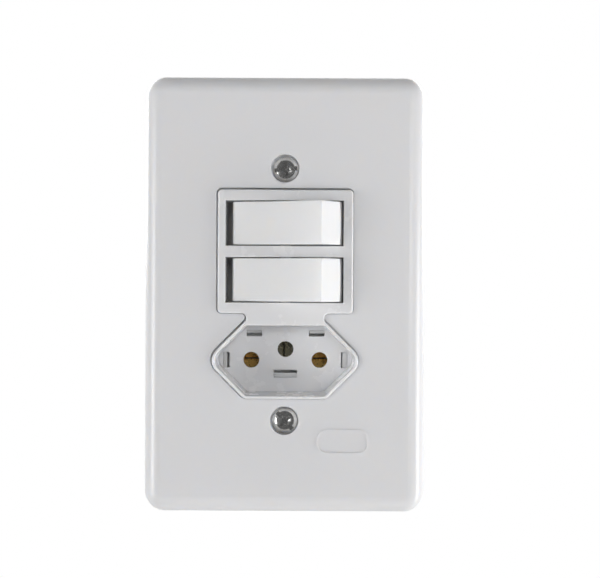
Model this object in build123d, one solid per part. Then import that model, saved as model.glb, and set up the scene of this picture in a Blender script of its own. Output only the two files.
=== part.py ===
from build123d import *
from math import asin, cos, degrees, radians, sin, sqrt, tan
import os

# A 4x2 wall set in millimetres: cover plate, steel bracket and one module that holds two rocker
# switches above a three pin socket in a hexagonal recess. X runs to the right, Y into the wall and Z up.
# The origin is on the wall plane, midway between the two screws that hold the set to its wall box.
# The rockers are drawn as they stand at rest, with their left ends pressed in.

# Cover plate
plate_width = 77.4
plate_end_overhang = 11.0
plate_depth = 8.0
plate_corner_radius = 5.8
plate_lip = 0.4
plate_flank_angle = 10.0
plate_crown_radius = 5.2
plate_edge_round = 4.6
plate_wall = 2.0
plate_gap = 0.28
plate_offset = (-0.16, 0.17)
screw_seat_radius = 3.85
screw_seat_depth = 2.2
plate_screw_hole_radius = 2.0
plate_boss_radius = 4.8
badge_place = (15.9, -39.9)
badge_width = 14.2
badge_height = 6.8
badge_line = 0.6
badge_proud = 0.25

# Screws through the plate
plate_screw_spacing = 68.3
plate_screw_head_radius = 3.4
plate_screw_head_edge = 0.8
plate_screw_dome = 1.2
plate_screw_shank_radius = 1.7
plate_screw_length = 9.0
plate_screw_turns = (6.0, -47.0)
slot_width = 1.15
slot_depth = 1.0
cross_arm_width = 0.95
cross_span = 4.4
cross_depth = 1.7

# Bracket of sheet steel
bracket_thickness = 1.2
bracket_width = 50.0
bracket_body_margin = 1.5
bracket_tab_width = 26.0
bracket_end_margin = 7.25
bracket_corner_radius = 3.0
bracket_window_clearance = 0.6
box_screw_spacing = 83.5
box_slot_radius = 2.2
box_slot_length = 6.5
collar_radius = 3.0
collar_length = 1.6
thread_clearance = 0.05

# Front housing: bezel block with two windows, neck and hexagon
bezel_proud = 0.9
bezel_corner_radius = 1.2
bezel_edge_round = 0.45
inner_edge_round = 0.25
block_side = 2.35
block_margin = 2.95
window_width = 31.9
window_shift = -0.25
window_height = 12.25
switch_pitch = 15.35
switch_middle = 11.775
neck_width = 21.2
neck_corner_radius = 1.2
flange_thickness = 2.6
flange_side_inset = 2.5
flange_end_inset = 0.5
flange_notch_width = 8.4
flange_notch_depth = 5.4

# Socket recess
socket_centre = -17.75
recess_depth = 9.9
recess_half_height = 9.55
recess_half_point = 20.35
recess_point_radius = 3.2
recess_corner_radius = 1.3
recess_draft = 0.4
recess_rim = 0.75
floor_thickness = 1.6
pin_row = -18.1
pin_spacing = 19.0
earth_rise = 3.0
pin_hole_radius = 2.2

# Latches between the two housings: place, size along X and Z, the way the hook faces and its thickness
latch_ledge = 0.35
latch_gap = 0.05
latch_depth = 2.4
latch_sink = 0.15
latches = [
    (-8.7, 7.45, 4.3, 1.75, 0, 1, 0.35),
    (8.7, 7.45, 4.3, 1.75, 0, 1, 0.5),
    (-16.45, 0.0, 1.75, 4.3, -1, 0, 0.7),
    (16.4, 0.0, 1.75, 4.3, 1, 0, 1.05),
    (0.0, -3.8, 6.5, 2.1, 0, -1, 0.85),
]

# Rocker, about its pivot pin
rocker_side_gap = 0.29
rocker_end_gap = 0.35
rocker_throw = 33.2
rocker_pivot_behind_face = 3.0
left_facet_run = 2.35
right_facet_run = 3.3
left_crest_round = 1.1
crest_rise = 6.65
dish_sag = 1.15
end_rise = -0.45
skirt_inset = 0.3
skirt_rise = -4.0
rocker_wall = 1.3
rocker_end_crown = 0.18
rocker_edge_round = 0.3
pivot_radius = 1.5
pivot_clearance = 0.05
pivot_length = 1.5
pivot_end_gap = 0.12
boss_radius = 3.3
boss_reach = 8.5
boss_bore_radius = 1.75
boss_bore_top = 1.0

# Plunger and its spring, along the rocker's boss
plunger_radius = 1.65
plunger_nose_radius = 1.2
plunger_start = 4.6
plunger_shoulder = 11.5
plunger_tip = 14.5
spring_radius = 1.25
spring_wire_radius = 0.22
spring_turns = 5

# Contact lever and its silver tips
lever_thickness = 0.8
lever_saddle_radius = 7.0
lever_arm_rise = 2.25
lever_half_length = 9.2
lever_width = 4.8
lever_throw = 16.0
lever_play = 0.15
tip_reach = 8.0
tip_radius = 1.4
tip_thickness = 0.7
tip_dome = 0.5
tip_gap = 0.04
tip_stem_radius = 0.6
tip_stem_clearance = 0.02

# Brass terminals
strip_thickness = 0.8
strip_width = 4.6
fulcrum_gap = 0.05
fulcrum_half_foot = 1.2
fulcrum_half_edge = 0.25
fixed_strip_start = 6.2
cage_length = 6.0
socket_cage_length = 5.0
cage_width = 7.0
tunnel_width = 4.6
tunnel_height = 4.4
cage_wall = 2.6
cage_start = 12.6
socket_cage_start = 15.9
earth_cage_start = 24.8
terminal_screw_radius = 1.45
terminal_head_radius = 2.6
terminal_head_height = 1.8
terminal_head_gap = 0.6
terminal_slot_width = 0.8
terminal_slot_depth = 0.9

# Socket contacts
leaf_thickness = 0.6
leaf_width = 5.6
leaf_setback = 4.35
leaf_waist = 0.15
leaf_waist_radius = 0.8
leaf_flare_angle = 52.0
leaf_flare_depth = 2.05
leaf_back_angle = 40.0
leaf_root = 2.4
leaf_root_radius = 1.6
leaf_length = 11.25
earth_fork_shift = -0.5

# Rear housing
rear_half_width = 21.5
rear_depth = 22.6
rear_top_wall = 2.0
rear_end_gap = 0.3
rear_corner_radius = 1.0
cell_side_margin = 0.275
cell_end_margin = 0.65
cell_depth = 5.6
lever_bay_half_width = 10.8
chamber_clearance = 0.6
chamber_roof = 2.0
strip_clearance = 0.2
back_pocket_half_width = 9.6
back_pocket_floor = 1.6
contact_bay_half_width = 4.6
contact_bay_half_height = 5.5
earth_bay_half_width = 4.0
earth_bay_half_height = 4.6
contact_end_clearance = 0.6

# Rivets between the bracket and the front housing
rivet_side_margin = 10.0
rivet_edge_margin = 3.0
rivet_radius = 1.2
rivet_clearance = 0.05
rivet_head_radius = 2.2
rivet_head_height = 0.6

# Sizes and places worked out from the sizes above
bracket_body_height = plate_screw_spacing + 2 * bracket_body_margin
bracket_height = box_screw_spacing + 2 * bracket_end_margin
plate_height = bracket_height + 2 * plate_end_overhang
flange_width = bracket_width - 2 * flange_side_inset
flange_height = bracket_body_height - 2 * flange_end_inset
rivet_reach = bracket_width / 2 - rivet_side_margin
rivet_spacing = bracket_body_height - 2 * rivet_edge_margin
face_y = -plate_depth
bezel_y = face_y - bezel_proud
pivot_y = face_y + rocker_pivot_behind_face
rest_tilt = rocker_throw / 2
lever_tilt = lever_throw / 2
rocker_height = window_height - 2 * rocker_side_gap
end_reach = window_width / 2 + window_shift - rocker_end_gap
skirt_reach = end_reach - skirt_inset
left_crest_reach = end_reach - left_facet_run
right_crest_reach = end_reach - right_facet_run
cell_height = window_height + 2 * cell_side_margin
cell_half_width = window_width / 2 + cell_end_margin
switch_heights = {
    "upper": switch_middle + switch_pitch / 2,
    "lower": switch_middle - switch_pitch / 2,
}
block_half_width = window_width / 2 + block_side
block_top = switch_heights["upper"] + window_height / 2 + block_margin
block_bottom = switch_heights["lower"] - window_height / 2 - block_margin
hexagon_half_height = recess_half_height + recess_rim
hexagon_half_point = recess_half_point + recess_rim * sqrt(2)
hexagon_point_radius = recess_point_radius + recess_rim
hexagon_reach = hexagon_half_point - hexagon_point_radius * (sqrt(2) - 1)
floor_y = bezel_y + recess_depth
floor_back_y = floor_y + floor_thickness
leaf_front = floor_back_y + leaf_setback
leaf_waist_depth = leaf_front + leaf_flare_depth
leaf_end = leaf_front + leaf_length
contact_bay_depth = leaf_end + contact_end_clearance
rear_top = switch_heights["upper"] + cell_height / 2 + rear_top_wall
rear_bottom = rivet_head_radius + rear_end_gap - rivet_spacing / 2
fulcrum_y = pivot_y + plunger_tip + lever_play + lever_thickness
lever_arm_back = lever_arm_rise - lever_thickness
tip_face = lever_arm_back - tip_thickness
tip_landing_x = tip_reach * cos(radians(lever_tilt)) + tip_face * sin(radians(lever_tilt))
tip_landing_y = fulcrum_y + tip_reach * sin(radians(lever_tilt)) - tip_face * cos(radians(lever_tilt))
fixed_tip_y = tip_landing_y + tip_gap
strip_y = fixed_tip_y + tip_thickness
tunnel_y = strip_y + strip_thickness
cage_back_y = tunnel_y + tunnel_height + cage_wall
terminal_head_y = cage_back_y + terminal_head_gap


def at_depth(y):
    """Plane parallel to the wall whose own axes are X and Z, and whose normal points to the room."""
    return Plane(origin=(0, y, 0), x_dir=(1, 0, 0), z_dir=(0, -1, 0))


def slab(outline, front, back):
    """The outline, drawn in X and Z, as a solid between two depths."""
    return extrude(at_depth(back) * outline, amount=back - front)


def cuboid(x0, x1, y0, y1, z0, z1):
    """Rectangular solid between two corners."""
    centre = Pos((x0 + x1) / 2, (y0 + y1) / 2, (z0 + z1) / 2)
    return centre * Box(abs(x1 - x0), abs(y1 - y0), abs(z1 - z0))


def rod(radius, x, z, front, back):
    """Round solid along Y."""
    return slab(Pos(x, z) * Circle(radius), front, back)


def mirrored_outline(right_points, right_radii):
    """Closed outline with rounded corners from its right half, listed from the top down."""
    left_points = [(-x, z) for x, z in reversed(right_points)]
    return make_face(
        FilletPolyline(*right_points, *left_points, radius=[*right_radii, *reversed(right_radii)], close=True)
    )


def bezel_outline(grow=0.0):
    """Outline of the bezel: block, neck and hexagon, moved out by grow."""
    half_block = block_half_width + grow
    half_neck = neck_width / 2 + grow
    half_point = hexagon_half_point + grow * sqrt(2)
    half_height = hexagon_half_height + grow
    points = [
        (half_block, block_top + grow),
        (half_block, block_bottom - grow),
        (half_neck, block_bottom - grow),
        (half_neck, socket_centre + half_point - half_neck),
        (half_point, socket_centre),
        (half_point - half_height, socket_centre - half_height),
    ]
    outer = bezel_corner_radius + grow
    inner = max(neck_corner_radius - grow, grow)
    lower = recess_corner_radius + recess_rim + grow
    return mirrored_outline(points, [outer, outer, inner, inner / 2, hexagon_point_radius + grow, lower])


def recess_outline(shrink=0.0):
    """Hexagonal outline of the socket recess, moved in by shrink."""
    half_height = recess_half_height - shrink
    half_point = recess_half_point - shrink * sqrt(2)
    points = [
        (half_point - half_height, socket_centre + half_height),
        (half_point, socket_centre),
        (half_point - half_height, socket_centre - half_height),
    ]
    return mirrored_outline(points, [recess_corner_radius, recess_point_radius, recess_corner_radius])


def plate_shell(width, height, radius, depth, lip, crown_radius):
    """Plate shape with a lip at the wall and flanks that slope in to the face."""
    slope = (depth - lip) * tan(radians(plate_flank_angle))
    foot = RectangleRounded(width, height, radius)
    crown = RectangleRounded(width - 2 * slope, height - 2 * slope, crown_radius)
    flanks = loft([at_depth(-lip) * foot, at_depth(-depth) * crown])
    return slab(foot, -lip, 0) + flanks


def make_cover_plate():
    """Drawn about its own middle. Its screw holes have play, and it sits a little off the module's middle."""
    shell = plate_shell(
        plate_width, plate_height, plate_corner_radius, plate_depth, plate_lip, plate_crown_radius
    )
    shell = fillet(shell.faces().sort_by(Axis.Y)[0].edges(), plate_edge_round)
    side_wall = plate_wall / cos(radians(plate_flank_angle))
    hollow = plate_shell(
        plate_width - 2 * side_wall,
        plate_height - 2 * side_wall,
        plate_corner_radius - plate_wall,
        plate_depth - plate_wall,
        plate_lip,
        plate_crown_radius - plate_wall,
    )
    hollow = fillet(hollow.faces().sort_by(Axis.Y)[0].edges(), plate_edge_round - plate_wall)
    plate = shell - hollow
    for side in (1, -1):
        height = side * plate_screw_spacing / 2
        plate += rod(plate_boss_radius, 0, height, face_y + plate_wall / 2, -bracket_thickness)
        plate -= rod(plate_screw_hole_radius, 0, height, face_y, 0)
        plate -= rod(screw_seat_radius, 0, height, face_y, face_y + screw_seat_depth)
    plate -= slab(bezel_outline(plate_gap), face_y, 0)
    badge = RectangleRounded(badge_width, badge_height, badge_height / 2 - badge_line)
    badge -= RectangleRounded(
        badge_width - 2 * badge_line, badge_height - 2 * badge_line, badge_height / 2 - 2 * badge_line
    )
    plate += slab(Pos(*badge_place) * badge, face_y - badge_proud, face_y)
    return Pos(plate_offset[0], 0, plate_offset[1]) * plate


def make_mounting_bracket():
    body = RectangleRounded(bracket_width, bracket_body_height, bracket_corner_radius)
    body += RectangleRounded(bracket_tab_width, bracket_height, bracket_corner_radius)
    window_top = block_top + bracket_window_clearance
    window_bottom = socket_centre - hexagon_half_height - bracket_window_clearance
    half_window = max(hexagon_reach, block_half_width) + bracket_window_clearance
    window = RectangleRounded(2 * half_window, window_top - window_bottom, bracket_corner_radius)
    body -= Pos(0, (window_top + window_bottom) / 2) * window
    bracket = slab(body, -bracket_thickness, 0)
    for side in (1, -1):
        tapped = side * plate_screw_spacing / 2
        bracket += rod(collar_radius, 0, tapped, 0, collar_length)
        bracket -= rod(
            plate_screw_shank_radius + thread_clearance, 0, tapped, -bracket_thickness, collar_length
        )
        slot = Rot(0, 0, 90) * SlotOverall(box_slot_length, 2 * box_slot_radius)
        bracket -= slab(Pos(0, side * box_screw_spacing / 2) * slot, -bracket_thickness, 0)
    for x, z in rivet_places():
        bracket -= rod(rivet_radius + rivet_clearance, x, z, -bracket_thickness, 0)
    return bracket


def rivet_places():
    half = rivet_spacing / 2
    return [(side * rivet_reach, height) for height in (half, -half) for side in (-1, 1)]


def make_bracket_rivet(x, z):
    front = -bracket_thickness
    back = flange_thickness
    rivet = rod(rivet_radius, x, z, front, back)
    rivet += rod(rivet_head_radius, x, z, front - rivet_head_height, front)
    rivet += rod(rivet_head_radius, x, z, back, back + rivet_head_height)
    return rivet


def make_plate_screw(side, turn):
    """Domed head with a slot and a cross recess, on a plain shank."""
    seat = face_y + screw_seat_depth
    height = side * plate_screw_spacing / 2
    edge = seat - plate_screw_head_edge
    head = rod(plate_screw_head_radius, 0, 0, edge, seat)
    ball_radius = (plate_screw_head_radius**2 + plate_screw_dome**2) / (2 * plate_screw_dome)
    ball = Pos(0, edge - plate_screw_dome + ball_radius, 0) * Sphere(ball_radius)
    head += ball & rod(plate_screw_head_radius, 0, 0, edge - plate_screw_dome, edge)
    top = edge - plate_screw_dome
    reach = plate_screw_head_radius
    slot = cuboid(-reach, reach, top, top + slot_depth, -slot_width / 2, slot_width / 2)
    half_span, half_arm = cross_span / 2, cross_arm_width / 2
    arm = cuboid(-half_span, half_span, top, top + cross_depth, -half_arm, half_arm)
    cross = arm + Rot(0, 90, 0) * arm
    funnel = Pos(0, top + cross_depth / 2, 0) * Rot(90, 0, 0) * Cone(
        cross_arm_width, cross_span / 2, cross_depth
    )
    head -= slot
    head -= cross & funnel
    shank = rod(plate_screw_shank_radius, 0, 0, seat, seat + plate_screw_length)
    return Pos(0, 0, height) * Rot(0, -turn, 0) * (head + shank)


def latch_window(x, z, width, height, hook_x, hook_z, thickness, back_shift=0.0):
    """Outline of a latch window. back_shift brings its hooked side in, which leaves the ledge."""
    outline = Rectangle(width - abs(hook_x) * back_shift, height - abs(hook_z) * back_shift)
    return Pos(x - hook_x * back_shift / 2, pin_row + z - hook_z * back_shift / 2) * outline


def make_front_housing():
    body = slab(bezel_outline(), bezel_y, flange_thickness)
    front_face = body.faces().sort_by(Axis.Y)[0]
    body = fillet(front_face.edges(), bezel_edge_round)
    recess = loft([at_depth(bezel_y) * recess_outline(), at_depth(floor_y) * recess_outline(recess_draft)])
    window = Rectangle(window_width, window_height)
    for height in switch_heights.values():
        body -= slab(Pos(window_shift, height) * window, bezel_y, flange_thickness)
    body -= recess
    front_face = body.faces().sort_by(Axis.Y)[0]
    openings = [edge for wire in front_face.inner_wires() for edge in wire.edges()]
    body = fillet(openings, inner_edge_round)

    flange = Rectangle(flange_width, flange_height)
    for side in (1, -1):
        notch = Rectangle(flange_notch_width, flange_notch_depth)
        flange -= Pos(0, side * (flange_height - flange_notch_depth) / 2) * notch
    flange -= bezel_outline()
    body += slab(flange, 0, flange_thickness)

    for height in switch_heights.values():
        for side in (1, -1):
            wall = height + side * window_height / 2
            depth = pivot_length - (window_height - rocker_height) / 2 + pivot_end_gap
            hole = Cylinder(pivot_radius + pivot_clearance, 2 * depth)
            body -= Pos(0, pivot_y, wall) * hole
    for x in (-pin_spacing / 2, pin_spacing / 2):
        body -= rod(pin_hole_radius, x, pin_row, floor_y, floor_back_y)
    body -= rod(pin_hole_radius, 0, pin_row + earth_rise, floor_y, floor_back_y)
    middle = floor_y + floor_thickness / 2
    for latch in latches:
        body -= slab(latch_window(*latch), floor_y, middle)
        body -= slab(latch_window(*latch, back_shift=latch_ledge), middle, floor_back_y)
    for x, z in rivet_places():
        body -= rod(rivet_radius + rivet_clearance, x, z, 0, flange_thickness)
    return body


def terminal_places():
    """The seven terminals, drawn with their wire side along +X: place, end of bay, cage start and length."""
    places = {}
    for name, height in switch_heights.items():
        level = Pos(0, 0, height)
        bay_end = lever_bay_half_width
        places[f"{name}_common"] = (level * Rot(0, 180, 0), bay_end, cage_start, cage_length)
        places[f"{name}_load"] = (level, bay_end, cage_start, cage_length)
    row = Pos(0, 0, pin_row)
    bay_end = pin_spacing / 2 + contact_bay_half_width
    places["socket_left"] = (row * Rot(0, 180, 0), bay_end, socket_cage_start, socket_cage_length)
    places["socket_right"] = (row, bay_end, socket_cage_start, socket_cage_length)
    bay_end = earth_bay_half_height - pin_row - earth_rise
    places["socket_earth"] = (Rot(0, 90, 0), bay_end, earth_cage_start, socket_cage_length)
    return places


def cage(start, length):
    """Brass cage with a square wire tunnel along X and a tapped hole in its back wall."""
    half = cage_width / 2
    body = cuboid(start, start + length, strip_y, cage_back_y, -half, half)
    half_tunnel = tunnel_width / 2
    body -= cuboid(start, start + length, tunnel_y, tunnel_y + tunnel_height, -half_tunnel, half_tunnel)
    hole = terminal_screw_radius + thread_clearance
    body -= rod(hole, start + length / 2, 0, tunnel_y + tunnel_height, cage_back_y)
    return body


def strip(start, end):
    """Flat brass strip along X at the depth of the cage's front wall."""
    return cuboid(start, end, strip_y, strip_y + strip_thickness, -strip_width / 2, strip_width / 2)


def make_terminal_screw(start, length):
    x = start + length / 2
    tip = tunnel_y + tunnel_height
    screw = rod(terminal_screw_radius, x, 0, tip, terminal_head_y)
    screw += rod(terminal_head_radius, x, 0, terminal_head_y, terminal_head_y + terminal_head_height)
    back = terminal_head_y + terminal_head_height
    reach = terminal_head_radius
    half_slot = terminal_slot_width / 2
    screw -= cuboid(x - reach, x + reach, back - terminal_slot_depth, back, -half_slot, half_slot)
    return screw


def make_load_terminal():
    body = cage(cage_start, cage_length) + strip(fixed_strip_start, cage_start)
    stem_hole = tip_stem_radius + tip_stem_clearance
    body -= rod(stem_hole, tip_landing_x, 0, strip_y, strip_y + strip_thickness)
    return body


def make_common_terminal():
    """Drawn with its cage at +X, turned about Y to stand at the left. It ends under the fulcrum."""
    body = cage(cage_start, cage_length) + strip(-fulcrum_half_foot, cage_start)
    edge_y = fulcrum_y + fulcrum_gap
    ridge = Polygon(
        (-fulcrum_half_foot, strip_y),
        (-fulcrum_half_edge, edge_y),
        (fulcrum_half_edge, edge_y),
        (fulcrum_half_foot, strip_y),
        align=None,
    )
    body += Pos(0, 0, -strip_width / 2) * extrude(ridge, amount=strip_width)
    return body


def make_fixed_tip():
    """Silver rivet with a domed head, on the load terminal's strip."""
    x = tip_landing_x
    ball_radius = (tip_radius**2 + tip_dome**2) / (2 * tip_dome)
    ball = Pos(x, fixed_tip_y + ball_radius, 0) * Sphere(ball_radius)
    head = ball & rod(tip_radius, x, 0, fixed_tip_y, strip_y)
    return head + rod(tip_stem_radius, x, 0, strip_y, strip_y + strip_thickness)


def make_contact_lever():
    """Bent strip about its fulcrum at the origin. The saddle in its middle carries the plunger."""
    rise = lever_arm_rise
    front_centre = lever_thickness + lever_saddle_radius
    back_radius = lever_saddle_radius + lever_thickness
    front_x = sqrt(lever_saddle_radius**2 - (front_centre - rise) ** 2)
    back_x = sqrt(back_radius**2 - (back_radius - lever_arm_back) ** 2)
    end = lever_half_length
    outline = [
        Polyline((-back_x, -lever_arm_back), (-end, -lever_arm_back), (-end, -rise), (-front_x, -rise)),
        ThreePointArc((-front_x, -rise), (0, -lever_thickness), (front_x, -rise)),
        Polyline((front_x, -rise), (end, -rise), (end, -lever_arm_back), (back_x, -lever_arm_back)),
        ThreePointArc((back_x, -lever_arm_back), (0, 0), (-back_x, -lever_arm_back)),
    ]
    blade = make_face([edge for line in outline for edge in line.edges()])
    lever = Pos(0, 0, -lever_width / 2) * extrude(blade, amount=lever_width)
    return lever - rod(tip_stem_radius + tip_stem_clearance, tip_reach, 0, -rise, -lever_arm_back)


def make_moving_tip():
    tip = rod(tip_radius, tip_reach, 0, -lever_arm_back, -tip_face)
    return tip + rod(tip_stem_radius, tip_reach, 0, -lever_arm_rise, -lever_arm_back)


def rocker_section(inset):
    """Section of the rocker in X and Y about its pivot, with its crests, dish and skirts."""
    lean = inset * (1 + sin(radians(rest_tilt)))
    left_crest = (-(left_crest_reach - inset / 2), -(crest_rise - lean))
    right_crest = (right_crest_reach - inset / 2, -(crest_rise - lean))
    end = (end_reach - lean, -(end_rise - inset / 2))
    skirt = (skirt_reach - lean, -skirt_rise)
    middle = ((left_crest[0] + right_crest[0]) / 2, -(crest_rise - dish_sag - inset))
    outline = [
        ThreePointArc(left_crest, middle, right_crest),
        Polyline(right_crest, end, skirt, (-skirt[0], skirt[1]), (-end[0], end[1]), left_crest),
    ]
    return make_face([edge for line in outline for edge in line.edges()])


def rocker_plan():
    """Outline of the rocker from the front, with ends that bulge a little."""
    half = rocker_height / 2
    side = end_reach - rocker_end_crown
    outline = [
        Polyline((-side, half), (side, half)),
        ThreePointArc((side, half), (end_reach, 0), (side, -half)),
        Polyline((side, -half), (-side, -half)),
        ThreePointArc((-side, -half), (-end_reach, 0), (-side, half)),
    ]
    return make_face([edge for line in outline for edge in line.edges()])


def make_rocker():
    """Hollow rocker about its pivot, drawn level."""
    half = rocker_height / 2
    body = Pos(0, 0, -half) * extrude(rocker_section(0.0), amount=rocker_height)
    body = body & slab(rocker_plan(), -crest_rise, -skirt_rise)
    crests = [e for e in body.edges().filter_by(Axis.Z) if e.center().Y < -crest_rise + rocker_wall]
    body = fillet(min(crests, key=lambda edge: edge.center().X), left_crest_round)
    crests = [e for e in body.edges().filter_by(Axis.Z) if e.center().Y < -crest_rise + rocker_wall]
    right_crest = max(crests, key=lambda edge: edge.center().X)
    sides = [
        e for e in body.edges()
        if abs(abs(e.center().Z) - half) < 0.01 and e.center().Y < -end_rise
    ]
    body = fillet([right_crest] + sides, rocker_edge_round)
    inner_half = half - rocker_wall
    body -= Pos(0, 0, -inner_half) * extrude(rocker_section(rocker_wall), amount=2 * inner_half)
    boss_top = crest_rise - dish_sag - rocker_wall / 2
    body += rod(boss_radius, 0, 0, -boss_top, boss_reach)
    body -= rod(boss_bore_radius, 0, 0, -boss_bore_top, boss_reach)
    for side in (1, -1):
        pin = Cylinder(pivot_radius, pivot_length)
        body += Pos(0, 0, side * (half + pivot_length / 2)) * pin
    return body


def make_plunger():
    body = rod(plunger_radius, 0, 0, plunger_start, plunger_shoulder)
    nose_centre = plunger_tip - plunger_nose_radius
    body += rod(plunger_nose_radius, 0, 0, plunger_shoulder, nose_centre)
    return body + Pos(0, nose_centre, 0) * Sphere(plunger_nose_radius)


def make_plunger_spring():
    """Coil spring between the end of the boss's bore and the plunger."""
    free_length = plunger_start + boss_bore_top - 2 * spring_wire_radius
    path = Helix(free_length / spring_turns, free_length, spring_radius)
    section = Plane(origin=path @ 0, z_dir=path % 0) * Circle(spring_wire_radius)
    coil = sweep(section, path=path, is_frenet=True)
    return Pos(0, -boss_bore_top + spring_wire_radius, 0) * Rot(-90, 0, 0) * coil


def leaf_arc_point(angle):
    """Point of the leaf's round waist, where its centre line leans by the angle."""
    lean = radians(angle)
    rise = leaf_waist_radius * (1 - cos(lean))
    return leaf_waist_depth + leaf_waist_radius * sin(lean), leaf_waist + leaf_thickness / 2 + rise


def leaf_body_depth():
    """Depth at which the leaf, past its waist, is as far out as its root."""
    depth, reach = leaf_arc_point(leaf_back_angle)
    return depth + (leaf_root + leaf_thickness / 2 - reach) / tan(radians(leaf_back_angle))


def leaf_profile(side):
    """One spring leaf of a contact, in depth and distance from the pin's axis: lead-in, waist and root."""
    flare = leaf_arc_point(-leaf_flare_angle)
    lip = (leaf_front, flare[1] + (flare[0] - leaf_front) * tan(radians(leaf_flare_angle)))
    waist = leaf_arc_point(0)
    back = leaf_arc_point(leaf_back_angle)
    root = leaf_root + leaf_thickness / 2

    def placed(*points):
        return [(depth, side * reach) for depth, reach in points]

    arc = ThreePointArc(*placed(flare, waist, back))
    lead_in = Line(*placed(lip, flare))
    tail = FilletPolyline(*placed(back, (leaf_body_depth(), root), (leaf_end, root)), radius=leaf_root_radius)
    return trace(lead_in + arc + tail, line_width=leaf_thickness)


def make_contact_fork():
    """Two spring leaves on a side plate, about the pin's axis, with the plate towards +X."""
    leaf_plane = Plane(origin=(leaf_width / 2, 0, 0), x_dir=(0, 1, 0), z_dir=(1, 0, 0))
    fork = None
    for side in (1, -1):
        leaf = extrude(leaf_plane * leaf_profile(side), amount=-leaf_width)
        fork = leaf if fork is None else fork + leaf
    reach = leaf_root + leaf_thickness
    plate_x = leaf_width / 2
    return fork + cuboid(
        plate_x - leaf_thickness, plate_x, leaf_body_depth(), leaf_end - leaf_width / 2, -reach, reach
    )


def make_side_contact():
    """Contact of an outer pin, drawn at the right of the socket."""
    fork = Pos(pin_spacing / 2, 0, 0) * make_contact_fork()
    inner = pin_spacing / 2 + leaf_width / 2 - leaf_thickness
    return fork + strip(inner, socket_cage_start) + cage(socket_cage_start, socket_cage_length)


def make_earth_contact():
    """Earth contact, drawn with its cage along +X and turned down to stand below its pin."""
    pin_at = -(pin_row + earth_rise)
    fork = Pos(pin_at, 0, earth_fork_shift) * make_contact_fork()
    inner = pin_at + leaf_width / 2 - leaf_thickness
    return fork + strip(inner, earth_cage_start) + cage(earth_cage_start, socket_cage_length)


def latch_hook(x, z, width, height, hook_x, hook_z, thickness):
    """Hook that rises from the rear housing through a latch window, with its nose over the ledge."""
    nose_front = floor_y + latch_sink
    nose_back = floor_y + floor_thickness / 2 - latch_gap
    side_x = x + hook_x * (width / 2 - latch_ledge)
    side_z = pin_row + z + hook_z * (height / 2 - latch_ledge)
    long_x = (width / 2 - latch_gap) * (1 - abs(hook_x))
    long_z = (height / 2 - latch_gap) * (1 - abs(hook_z))
    x0 = side_x - hook_x * (thickness + latch_gap) - long_x
    x1 = side_x - hook_x * latch_gap + long_x
    z0 = side_z - hook_z * (thickness + latch_gap) - long_z
    z1 = side_z - hook_z * latch_gap + long_z
    post = cuboid(x0, x1, nose_front, floor_back_y + latch_depth, z0, z1)
    out_x = hook_x * latch_ledge
    out_z = hook_z * latch_ledge
    nose = cuboid(x0, x1 + out_x, nose_front, nose_back, z0, z1 + out_z)
    return post + nose


def make_rear_housing():
    middle = (rear_top + rear_bottom) / 2
    outline = RectangleRounded(2 * rear_half_width, rear_top - rear_bottom, rear_corner_radius)
    outline = Pos(0, middle) * outline
    body = slab(outline, floor_back_y, rear_depth)
    half_cell = cell_height / 2
    half_strip = strip_width / 2 + strip_clearance
    for height in switch_heights.values():
        z0, z1 = height - half_cell, height + half_cell
        body -= cuboid(-cell_half_width, cell_half_width, floor_back_y, cell_depth, z0, z1)
        body -= cuboid(-lever_bay_half_width, lever_bay_half_width, cell_depth, tunnel_y, z0, z1)
    pocket_floor = tunnel_y + back_pocket_floor
    for height in switch_heights.values():
        pocket = (height - half_cell, height + half_cell)
        body -= cuboid(-back_pocket_half_width, back_pocket_half_width, pocket_floor, rear_depth, *pocket)

    chamber_half = cage_width / 2 + chamber_clearance
    chamber_front = cell_depth + chamber_roof
    for place, bay_end, start, length in terminal_places().values():
        chamber = cuboid(
            start - chamber_clearance,
            2 * rear_half_width,
            chamber_front,
            rear_depth,
            -chamber_half,
            chamber_half,
        )
        body -= place * chamber
        slot = cuboid(
            bay_end,
            start,
            strip_y - strip_clearance,
            strip_y + strip_thickness + strip_clearance,
            -half_strip,
            half_strip,
        )
        body -= place * slot

    for side in (1, -1):
        centre = side * pin_spacing / 2
        body -= cuboid(
            centre - contact_bay_half_width,
            centre + contact_bay_half_width,
            floor_back_y,
            contact_bay_depth,
            pin_row - contact_bay_half_height,
            pin_row + contact_bay_half_height,
        )
    earth = pin_row + earth_rise
    body -= cuboid(
        -earth_bay_half_width,
        earth_bay_half_width,
        floor_back_y,
        contact_bay_depth,
        earth - earth_bay_half_height,
        earth + earth_bay_half_height,
    )
    for latch in latches:
        body -= slab(latch_window(*latch), floor_back_y, floor_back_y + latch_depth)
        body += latch_hook(*latch)
    return body


def switch_nodes(name, height):
    """The moving and fixed pieces of one switch, at rest with the left end of its rocker pressed in."""
    pivot = Pos(0, pivot_y, height) * Rot(0, 0, -rest_tilt)
    fulcrum = Pos(0, fulcrum_y, height) * Rot(0, 0, lever_tilt)
    places = terminal_places()
    common_place = places[f"{name}_common"][0]
    load_place = places[f"{name}_load"][0]
    return {
        f"rocker_{name}": pivot * make_rocker(),
        f"plunger_{name}": pivot * make_plunger(),
        f"plunger_spring_{name}": pivot * make_plunger_spring(),
        f"contact_lever_{name}": fulcrum * make_contact_lever(),
        f"contact_tip_moving_{name}": fulcrum * make_moving_tip(),
        f"contact_tip_fixed_{name}": load_place * make_fixed_tip(),
        f"common_terminal_{name}": common_place * make_common_terminal(),
        f"load_terminal_{name}": load_place * make_load_terminal(),
    }


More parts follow.
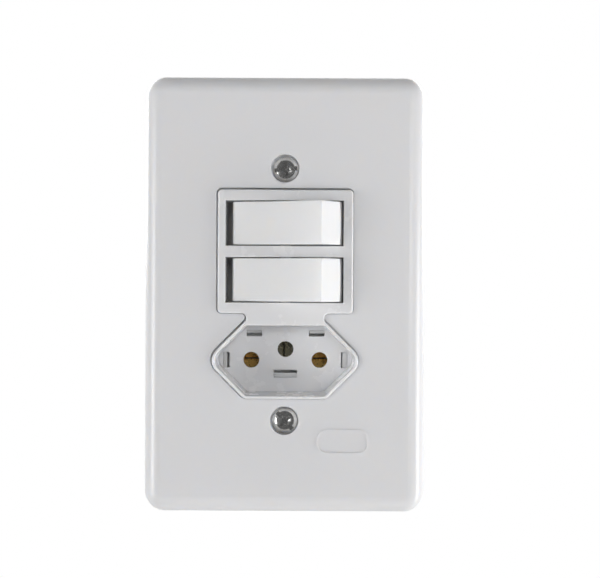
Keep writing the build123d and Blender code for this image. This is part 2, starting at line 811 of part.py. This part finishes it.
def all_nodes():
    nodes = {
        "cover_plate": make_cover_plate(),
        "mounting_bracket": make_mounting_bracket(),
        "front_housing": make_front_housing(),
        "rear_housing": make_rear_housing(),
        "plate_screw_top": make_plate_screw(1, plate_screw_turns[0]),
        "plate_screw_bottom": make_plate_screw(-1, plate_screw_turns[1]),
    }
    for name, height in switch_heights.items():
        nodes.update(switch_nodes(name, height))
    places = terminal_places()
    nodes["socket_contact_left"] = places["socket_left"][0] * make_side_contact()
    nodes["socket_contact_right"] = places["socket_right"][0] * make_side_contact()
    nodes["socket_contact_earth"] = places["socket_earth"][0] * make_earth_contact()
    for name, (place, bay_end, start, length) in places.items():
        nodes[f"terminal_screw_{name}"] = place * make_terminal_screw(start, length)
    for number, (x, z) in enumerate(rivet_places(), start=1):
        nodes[f"bracket_rivet_{number}"] = make_bracket_rivet(x, z)
    return nodes


os.makedirs("parts", exist_ok=True)
for node, shape in all_nodes().items():
    solids = shape.solids()
    whole = solids[0] if len(solids) == 1 else Compound(children=list(solids))
    whole.label = node
    export_step(whole, f"parts/{node}.step")
    print(node, len(solids), round(sum(solid.volume for solid in solids), 2))
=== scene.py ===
import math

import bpy
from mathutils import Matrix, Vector

MILLIMETRE = 0.001
MICRON = 0.000001

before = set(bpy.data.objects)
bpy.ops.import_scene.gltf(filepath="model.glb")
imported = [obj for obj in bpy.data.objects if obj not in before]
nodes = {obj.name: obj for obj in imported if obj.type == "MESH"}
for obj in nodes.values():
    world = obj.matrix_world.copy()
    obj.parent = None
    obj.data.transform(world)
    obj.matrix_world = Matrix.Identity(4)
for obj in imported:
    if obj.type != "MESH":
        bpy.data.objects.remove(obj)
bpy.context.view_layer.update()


# Shader nodes

# A noise mostly lies between these two values, so they carry the whole of a drift.
NOISE_LOW = 0.3
NOISE_HIGH = 0.7
NOISE_ROUGHNESS = 0.55


def add_math(tree, operation, *operands):
    """Math node. Each operand is a number or the output of another node."""
    node = tree.nodes.new("ShaderNodeMath")
    node.operation = operation
    for index, operand in enumerate(operands):
        if isinstance(operand, float):
            node.inputs[index].default_value = operand
        else:
            tree.links.new(operand, node.inputs[index])
    return node.outputs[0]


def add_mix(tree, share, first, second):
    """Mix of two shader nodes. The share is how much of the second one there is."""
    mix = tree.nodes.new("ShaderNodeMixShader")
    tree.links.new(share, mix.inputs[0])
    tree.links.new(first.outputs[0], mix.inputs[1])
    tree.links.new(second.outputs[0], mix.inputs[2])
    return mix.outputs[0]


def add_noise(tree, per_metre, detail, stretch=(1.0, 1.0, 1.0)):
    """Noise over the object's own coordinates, in metres, so it has a real size."""
    place = tree.nodes.new("ShaderNodeTexCoord")
    mapping = tree.nodes.new("ShaderNodeMapping")
    mapping.inputs["Scale"].default_value = stretch
    noise = tree.nodes.new("ShaderNodeTexNoise")
    noise.inputs["Scale"].default_value = per_metre
    noise.inputs["Detail"].default_value = detail
    noise.inputs["Roughness"].default_value = NOISE_ROUGHNESS
    tree.links.new(place.outputs["Object"], mapping.inputs["Vector"])
    tree.links.new(mapping.outputs["Vector"], noise.inputs["Vector"])
    return noise.outputs["Fac"]


def add_range(tree, source, from_low, from_high, to_low, to_high):
    span = tree.nodes.new("ShaderNodeMapRange")
    span.inputs["From Min"].default_value = from_low
    span.inputs["From Max"].default_value = from_high
    span.inputs["To Min"].default_value = to_low
    span.inputs["To Max"].default_value = to_high
    tree.links.new(source, span.inputs["Value"])
    return span.outputs["Result"]


def add_bump(tree, shader, source, height, strength, under=None):
    """Bump that feeds the shader, on top of the normal of another bump where one is given."""
    bump = tree.nodes.new("ShaderNodeBump")
    bump.inputs["Distance"].default_value = height
    bump.inputs["Strength"].default_value = strength
    tree.links.new(source, bump.inputs["Height"])
    if under is not None:
        tree.links.new(under, bump.inputs["Normal"])
    tree.links.new(bump.outputs["Normal"], shader.inputs["Normal"])
    return bump.outputs["Normal"]


def add_tint(tree, shader, source, dark, light):
    """Base colour that drifts between two colours with a noise."""
    ramp = tree.nodes.new("ShaderNodeValToRGB")
    ramp.color_ramp.elements[0].position = NOISE_LOW
    ramp.color_ramp.elements[0].color = (*dark, 1.0)
    ramp.color_ramp.elements[1].position = NOISE_HIGH
    ramp.color_ramp.elements[1].color = (*light, 1.0)
    tree.links.new(source, ramp.inputs["Fac"])
    tree.links.new(ramp.outputs["Color"], shader.inputs["Base Color"])


def add_gloss_drift(tree, shader, source, low, high):
    """Roughness that drifts between two values with a noise."""
    drift = add_range(tree, source, NOISE_LOW, NOISE_HIGH, low, high)
    tree.links.new(drift, shader.inputs["Roughness"])


# Materials

PLASTIC_IOR = 1.5
PLASTIC_SCATTER = (1.0, 0.95, 0.88)
PLASTIC_TINT_DRIFT = 0.002
PLASTIC_GLOSS_DRIFT = 0.01
FLOW_MARK_HEIGHT = 5 * MICRON
FLOW_MARK_STRENGTH = 0.2
SKIN_HEIGHT = 2 * MICRON
SKIN_STRENGTH = 0.4

METAL_DULLEST_PATCH = 0.86
METAL_SMOOTHEST_LINE = 0.75
METAL_ROUGHEST_LINE = 1.35
METAL_LINE_HEIGHT = 10 * MICRON
METAL_LINE_STRETCH = (1.0, 0.15, 1.0)


def new_material(name, colour, roughness, metallic=0.0):
    material = bpy.data.materials.new(name)
    material.use_nodes = True
    tree = material.node_tree
    shader = tree.nodes["Principled BSDF"]
    shader.inputs["Base Color"].default_value = (*colour, 1.0)
    shader.inputs["Roughness"].default_value = roughness
    shader.inputs["Metallic"].default_value = metallic
    return material, tree, shader


def moulded_plastic(name, colour, roughness, depth=1.5 * MILLIMETRE):
    """Glossy moulded plastic: light goes a little way into it, and its skin has faint flow marks."""
    material, tree, shader = new_material(name, colour, roughness)
    shader.inputs["IOR"].default_value = PLASTIC_IOR
    shader.inputs["Subsurface Weight"].default_value = 1.0
    shader.inputs["Subsurface Radius"].default_value = PLASTIC_SCATTER
    shader.inputs["Subsurface Scale"].default_value = depth
    dark = tuple(channel * (1 - PLASTIC_TINT_DRIFT) for channel in colour)
    light = tuple(channel * (1 + PLASTIC_TINT_DRIFT) for channel in colour)
    clouds = add_noise(tree, 45.0, detail=2.0)
    add_tint(tree, shader, clouds, dark, light)
    gloss = add_noise(tree, 160.0, detail=4.0)
    add_gloss_drift(tree, shader, gloss, roughness - PLASTIC_GLOSS_DRIFT, roughness + PLASTIC_GLOSS_DRIFT)
    waves = add_noise(tree, 90.0, detail=1.0)
    flow = add_bump(tree, shader, waves, FLOW_MARK_HEIGHT, FLOW_MARK_STRENGTH)
    skin = add_noise(tree, 2600.0, detail=2.0)
    add_bump(tree, shader, skin, SKIN_HEIGHT, SKIN_STRENGTH, under=flow)
    return material


def plated_metal(name, colour, roughness, metallic, line_strength=0.35):
    """Plated or drawn metal with fine lines and patches of duller plating."""
    material, tree, shader = new_material(name, colour, roughness, metallic)
    dull = tuple(channel * METAL_DULLEST_PATCH for channel in colour)
    patches = add_noise(tree, 400.0, detail=4.0)
    add_tint(tree, shader, patches, dull, colour)
    lines = add_noise(tree, 900.0, detail=5.0, stretch=METAL_LINE_STRETCH)
    add_gloss_drift(
        tree, shader, lines, roughness * METAL_SMOOTHEST_LINE, roughness * METAL_ROUGHEST_LINE
    )
    add_bump(tree, shader, lines, METAL_LINE_HEIGHT, line_strength)
    return material


def dress_nodes():
    zinc = plated_metal("zinc", (0.6, 0.61, 0.62), 0.36, metallic=0.85)
    brass = plated_metal("brass_sheet", (1.0, 0.67, 0.21), 0.28, metallic=0.4)
    looks = {
        "cover_plate": moulded_plastic("plate_white", (0.8, 0.8, 0.81), 0.3),
        "front_housing": moulded_plastic(
            "module_white", (0.815, 0.815, 0.823), 0.27, depth=0.8 * MILLIMETRE
        ),
        "rear_housing": moulded_plastic("back_grey", (0.7, 0.7, 0.69), 0.45),
        "rocker": moulded_plastic("rocker_white", (0.915, 0.915, 0.918), 0.22, depth=1.0 * MILLIMETRE),
        "plunger": moulded_plastic("black_nylon", (0.03, 0.03, 0.03), 0.5),
        "plunger_spring": plated_metal("spring_wire", (0.45, 0.45, 0.46), 0.3, metallic=0.85),
        "plate_screw": plated_metal(
            "nickel", (0.78, 0.78, 0.77), 0.18, metallic=0.93, line_strength=0.15
        ),
        "mounting_bracket": zinc,
        "bracket_rivet": zinc,
        "terminal_screw": zinc,
        "contact_lever": brass,
        "common_terminal": brass,
        "load_terminal": brass,
        "socket_contact": brass,
        "socket_contact_earth": plated_metal("tinned_brass", (0.7, 0.66, 0.5), 0.24, metallic=0.6),
        "contact_tip": plated_metal("contact_silver", (0.8, 0.8, 0.78), 0.3, metallic=0.8),
    }
    for name, node in nodes.items():
        # The longest start that fits is the one meant: a plunger_spring isn't a plunger.
        start = max((start for start in looks if name.startswith(start)), key=len)
        for slot in node.material_slots:
            slot.material = looks[start]


dress_nodes()


# Light

NEAR_LAMP = 0.82
FAR_LAMP = 1.4


def area_light(name, turn, rise, size, watts, distance, mirrored=True):
    """Panel that faces the object. Turn is from straight in front towards the right, rise from level up."""
    light = bpy.data.lights.new(name, "AREA")
    light.shape = "RECTANGLE"
    light.size, light.size_y = size
    light.energy = watts
    lamp = bpy.data.objects.new(name, light)
    bpy.context.scene.collection.objects.link(lamp)
    turn, rise = math.radians(turn), math.radians(rise)
    heading = Vector((math.sin(turn) * math.cos(rise), -math.cos(turn) * math.cos(rise), math.sin(rise)))
    lamp.location = heading * distance
    lamp.rotation_euler = (-heading).to_track_quat("-Z", "Y").to_euler()
    lamp.visible_glossy = mirrored


area_light("left_box", -63, -7, (0.5, 0.7), 9.4, FAR_LAMP)
area_light("right_box", 80, -18, (0.3, 0.66), 5.0, NEAR_LAMP)
area_light("front_fill", 4, 9, (0.3, 0.3), 1.15, NEAR_LAMP, mirrored=False)
area_light("front_right_fill", 25, 4, (0.3, 0.5), 1.9, FAR_LAMP)
area_light("low_fill", 6, -42, (0.8, 0.5), 2.4, FAR_LAMP, mirrored=False)
area_light("rear_left_box", -140, 20, (0.5, 0.5), 3.0, NEAR_LAMP)
area_light("rear_right_box", 140, 20, (0.5, 0.5), 3.0, NEAR_LAMP)


# World

AMBIENT = (0.16, 0.16, 0.163)
AMBIENT_KEPT_IN_MIRRORS = 0.28
FRONT_WHITE_IN_MIRRORS = 0.03
BACKDROP_BLUR = 0.25


def add_background(tree, colour):
    background = tree.nodes.new("ShaderNodeBackground")
    background.inputs["Color"].default_value = (*colour, 1.0)
    return background


def studio_world():
    """The camera sees white. Mirrored rays see white behind the set and a dim room in front of it."""
    world = bpy.data.worlds.new("studio")
    bpy.context.scene.world = world
    world.use_nodes = True
    tree = world.node_tree
    tree.nodes.clear()
    rays = tree.nodes.new("ShaderNodeLightPath")
    mirrored = rays.outputs["Is Glossy Ray"]
    ambient = add_background(tree, AMBIENT)
    dimmed = add_math(tree, "MULTIPLY_ADD", mirrored, AMBIENT_KEPT_IN_MIRRORS - 1.0, 1.0)
    tree.links.new(dimmed, ambient.inputs["Strength"])
    white = add_background(tree, (1.0, 1.0, 1.0))

    heading = tree.nodes.new("ShaderNodeTexCoord")
    split = tree.nodes.new("ShaderNodeSeparateXYZ")
    tree.links.new(heading.outputs["Generated"], split.inputs[0])
    backdrop = add_range(
        tree, split.outputs["Y"], -BACKDROP_BLUR, BACKDROP_BLUR, FRONT_WHITE_IN_MIRRORS, 1.0
    )
    reflected = add_math(tree, "MULTIPLY", mirrored, backdrop)
    seen = add_math(tree, "MAXIMUM", rays.outputs["Is Camera Ray"], rays.outputs["Is Transmission Ray"])
    share = add_math(tree, "MAXIMUM", seen, reflected)
    out = tree.nodes.new("ShaderNodeOutputWorld")
    tree.links.new(add_mix(tree, share, ambient, white), out.inputs[0])


studio_world()


# Stage

FLOOR_HALF = 6.0
FLOOR_LEVEL = -1.6
FLOOR_GREY = 0.8
FLOOR_ROUGHNESS = 0.9


def plain_floor():
    """Pale floor far below the lamps. It looks white, and lights the set as a matt grey."""
    corners = [
        (side * FLOOR_HALF, front * FLOOR_HALF, FLOOR_LEVEL)
        for side, front in ((-1, -1), (1, -1), (1, 1), (-1, 1))
    ]
    mesh = bpy.data.meshes.new("floor")
    mesh.from_pydata(corners, [], [(0, 1, 2, 3)])
    floor = bpy.data.objects.new("floor", mesh)
    bpy.context.scene.collection.objects.link(floor)
    material, tree, matt = new_material("floor_pale", (FLOOR_GREY,) * 3, FLOOR_ROUGHNESS)
    glow = tree.nodes.new("ShaderNodeEmission")
    rays = tree.nodes.new("ShaderNodeLightPath")
    seen = add_math(tree, "MAXIMUM", rays.outputs["Is Camera Ray"], rays.outputs["Is Glossy Ray"])
    share = add_math(tree, "MAXIMUM", seen, rays.outputs["Is Transmission Ray"])
    tree.links.new(add_mix(tree, share, matt, glow), tree.nodes["Material Output"].inputs["Surface"])
    mesh.materials.append(material)
    floor.visible_glossy = False


plain_floor()


# Camera

LENS = 66.5
SENSOR_WIDTH = 36.0
NEAREST_SEEN = 0.01
CAMERA_PLACE = Vector((3.97, -308.0, 1.68)) * MILLIMETRE
CAMERA_ROLL = math.radians(-0.28)

camera_data = bpy.data.cameras.new("camera")
camera_data.lens = LENS
camera_data.sensor_width = SENSOR_WIDTH
camera_data.clip_start = NEAREST_SEEN
camera = bpy.data.objects.new("camera", camera_data)
bpy.context.scene.collection.objects.link(camera)
camera.location = CAMERA_PLACE
camera.rotation_euler = (math.radians(90), CAMERA_ROLL, 0)
bpy.context.scene.camera = camera
bpy.context.scene.view_settings.view_transform = "Standard"
